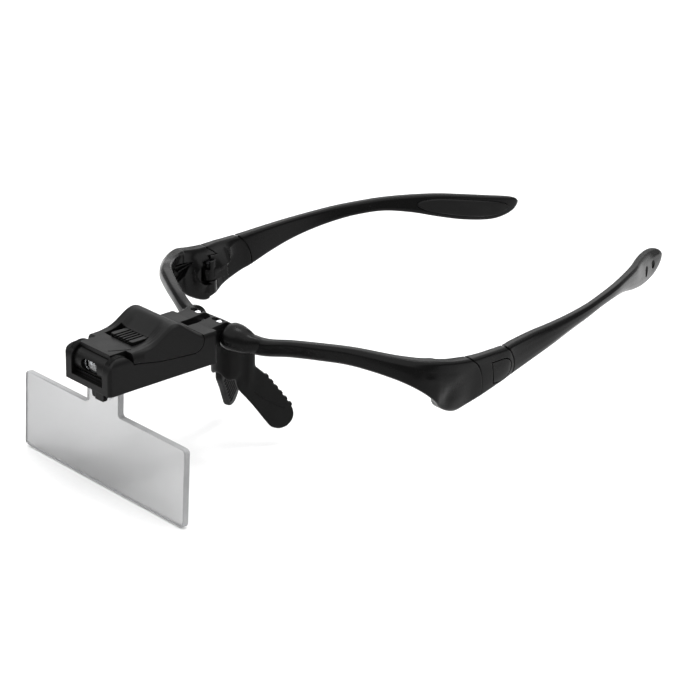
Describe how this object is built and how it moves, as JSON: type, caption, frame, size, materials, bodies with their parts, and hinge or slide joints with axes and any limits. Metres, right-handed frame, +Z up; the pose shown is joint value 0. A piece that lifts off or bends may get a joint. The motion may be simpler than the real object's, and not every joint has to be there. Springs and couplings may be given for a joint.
{
  "type": "lighted headband magnifier",
  "caption": "Spectacle-frame magnifier: wrapped brow bar with folding arms, soft nose saddle, flip-up lamp housing with a tilting lamp, and a clear plug-in lens plate.",
  "frame": {"origin": "nose seat: the point on the middle plane where the saddle's two wings meet the bridge of the nose", "axes": "+X to the wearer's left, +Y back along the arms to their tips, +Z up"},
  "size_m": [0.142, 0.2359, 0.0546],
  "materials": {
    "frame_plastic": "satin black moulding with a soft sheen",
    "housing_plastic": "fine-grained black moulding",
    "soft_rubber": "matte black elastomer",
    "steel": "turned and plain",
    "cell_steel": "pressed nickel-plated steel",
    "contact_brass": "plain strip",
    "board": "coated glass-fibre board",
    "lamp_clear": "clear moulded resin",
    "lens_clear": "polished clear acrylic"
  },
  "bodies": {
    "frame": {"brow_frame": "frame_plastic", "nose_saddle": "soft_rubber", "tilt_pin": "steel", "hinge_screw_left": "steel", "hinge_screw_right": "steel"},
    "temple_left": {"hinge_block_left": "frame_plastic", "arm_left": "frame_plastic", "tip_pad_left": "soft_rubber", "release_spring_left": "steel"},
    "temple_right": {"hinge_block_right": "frame_plastic", "arm_right": "frame_plastic", "tip_pad_right": "soft_rubber", "release_spring_right": "steel"},
    "release_left": {"release_button_left": "frame_plastic"},
    "release_right": {"release_button_right": "frame_plastic"},
    "housing": {"housing_base": "housing_plastic", "housing_cover": "housing_plastic", "cover_screws": "steel", "button_cells": "cell_steel", "battery_contacts": "contact_brass", "circuit_board": "board", "lens_clip": "housing_plastic"},
    "lamp": {"lamp_barrel": "housing_plastic", "lamp_led": "lamp_clear", "lamp_window": "lamp_clear"},
    "switch": {"switch_slider": "housing_plastic", "switch_wiper": "contact_brass"},
    "door": {"battery_door": "housing_plastic"},
    "lens": {"lens_plate": "lens_clear"}
  },
  "joints": [
    {"name": "temple_fold_left", "type": "hinge", "parent": "frame", "child": "temple_left", "pos_m": [0.0637, 0.0376, 0.004], "axis": [0, 0, 1], "range_deg": [0, 60]},
    {"name": "temple_fold_right", "type": "hinge", "parent": "frame", "child": "temple_right", "pos_m": [-0.0637, 0.0376, 0.004], "axis": [0, 0, 1], "range_deg": [-60, 0]},
    {"name": "release_press_left", "type": "slide", "parent": "temple_left", "child": "release_left", "axis": [-1, 0, 0], "range_m": [0, 0.0005], "stiffness_N_per_m": 800, "springref_m": -0.0006, "deforming": ["release_spring_left"]},
    {"name": "release_press_right", "type": "slide", "parent": "temple_right", "child": "release_right", "axis": [1, 0, 0], "range_m": [0, 0.0005], "stiffness_N_per_m": 800, "springref_m": -0.0006, "deforming": ["release_spring_right"]},
    {"name": "housing_tilt", "type": "hinge", "parent": "frame", "child": "housing", "pos_m": [0, -0.0155, 0.0182], "axis": [-1, 0, 0], "range_deg": [-10, 80]},
    {"name": "lamp_tilt", "type": "hinge", "parent": "housing", "child": "lamp", "pos_m": [0, -0.0608, 0.0164], "axis": [1, 0, 0], "range_deg": [-12, 20]},
    {"name": "switch_slide", "type": "slide", "parent": "housing", "child": "switch", "axis": [-1, 0, 0], "range_m": [0, 0.0026]},
    {"name": "battery_door_pull", "type": "slide", "parent": "housing", "child": "door", "axis": [0, 0, -1], "range_m": [0, 0.006]},
    {"name": "lens_pull", "type": "slide", "parent": "housing", "child": "lens", "axis": [0, -0.0419, -0.9991], "range_m": [0, 0.006]}
  ]
}
